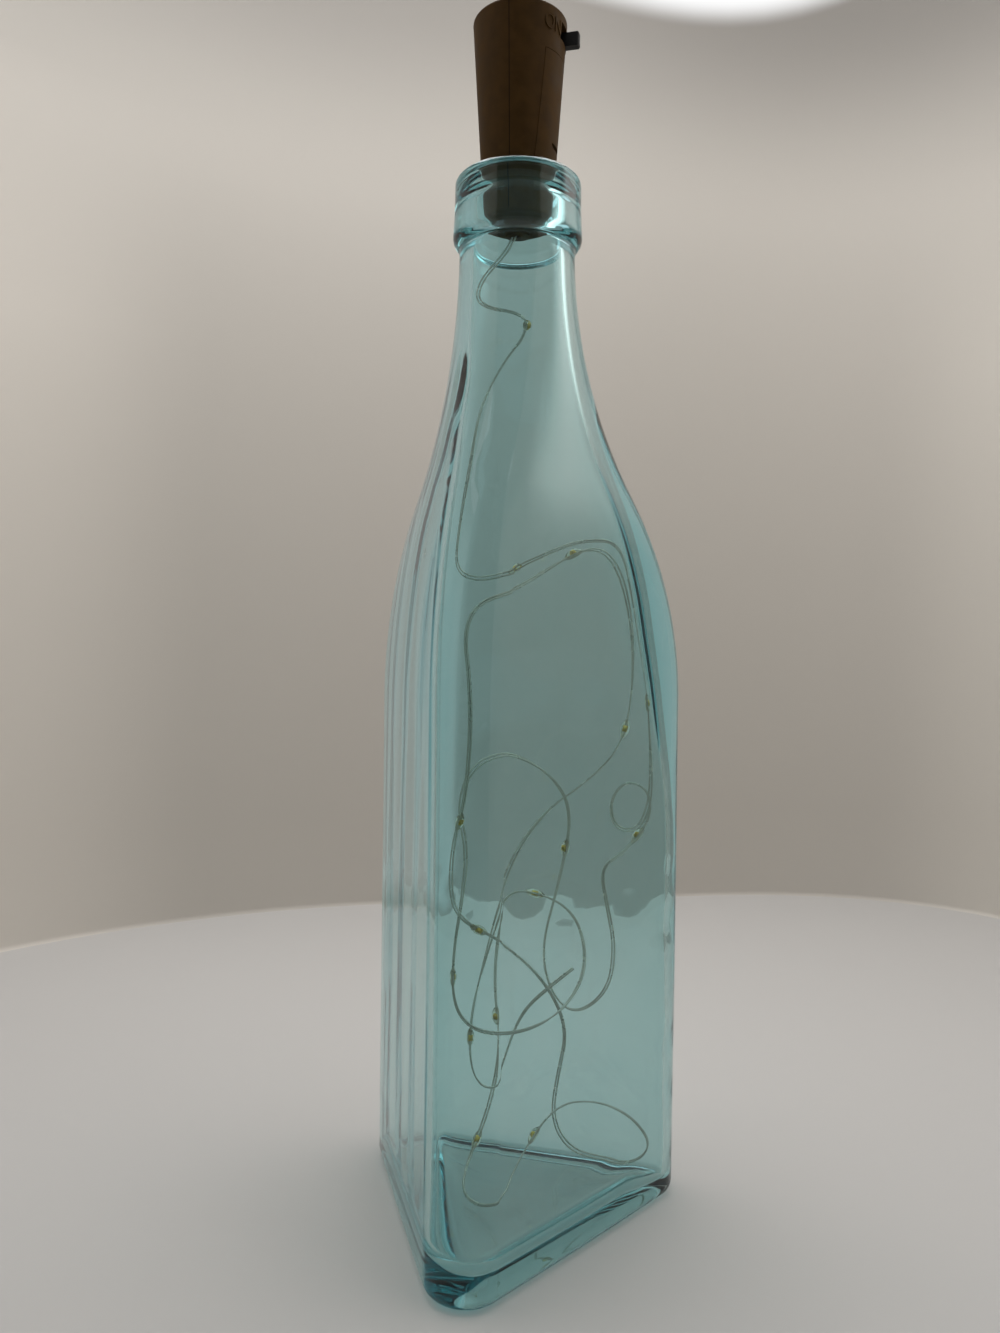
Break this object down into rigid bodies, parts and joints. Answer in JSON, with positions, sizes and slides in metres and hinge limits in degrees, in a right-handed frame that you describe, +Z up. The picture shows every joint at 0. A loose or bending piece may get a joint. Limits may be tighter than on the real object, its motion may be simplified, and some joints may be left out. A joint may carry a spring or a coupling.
{
  "type": "cork bottle light",
  "caption": "Three-sided aqua glass bottle closed by a tapered cork-shaped battery light: the cork lifts out, its switch slides, its battery door pulls off, and a lamp string lies in the glass.",
  "frame": {"origin": "on the bottle's axis, on its flat base", "axes": "+Z up along the bottle, -Y through one corner of the bottle, +X towards the battery door and the switch"},
  "size_m": [0.081, 0.0731, 0.299],
  "materials": {
    "bottle_glass": "clear pale aqua, gloss",
    "cork_plastic": "satin moulded brown",
    "black_plastic": "moulded black",
    "cell_steel": "nickel plated",
    "contact_metal": "nickel plated sheet",
    "board_green": "solder mask",
    "resistor_ceramic": "printed chip, plain",
    "wire_cover": "thin plastic cover",
    "clear_glue": "clear hot glue",
    "string_wire": "thin silvery enamelled wire pair",
    "lamp_resin": "clear resin drops",
    "lamp_phosphor": "yellow phosphor"
  },
  "bodies": {
    "bottle": {"glass_bottle": "bottle_glass", "string_loops": "string_wire", "led_beads": "lamp_resin", "led_chips": "lamp_phosphor"},
    "cork": {"cork_shell_front": "cork_plastic", "cork_shell_rear": "cork_plastic", "wire_bush": "cork_plastic", "glue_plug": "clear_glue", "battery_cradle": "black_plastic", "button_cell_top": "cell_steel", "button_cell_middle": "cell_steel", "button_cell_bottom": "cell_steel", "positive_contact": "contact_metal", "negative_contact": "contact_metal", "circuit_board": "board_green", "resistor": "resistor_ceramic", "switch_frame": "contact_metal", "switch_pins": "contact_metal", "feed_wires": "wire_cover", "string_lead": "string_wire"},
    "switch": {"switch_knob": "black_plastic", "switch_wiper": "contact_metal"},
    "door": {"battery_door": "cork_plastic"}
  },
  "joints": [
    {"name": "cork_pull", "type": "slide", "parent": "bottle", "child": "cork", "axis": [0, 0, 1], "range_m": [0, 0.022], "deforming": ["string_lead"]},
    {"name": "switch_slide", "type": "slide", "parent": "cork", "child": "switch", "axis": [0, -1, 0], "range_m": [0, 0.0038]},
    {"name": "door_pull", "type": "slide", "parent": "cork", "child": "door", "axis": [1, 0, 0], "range_m": [0, 0.02]}
  ]
}
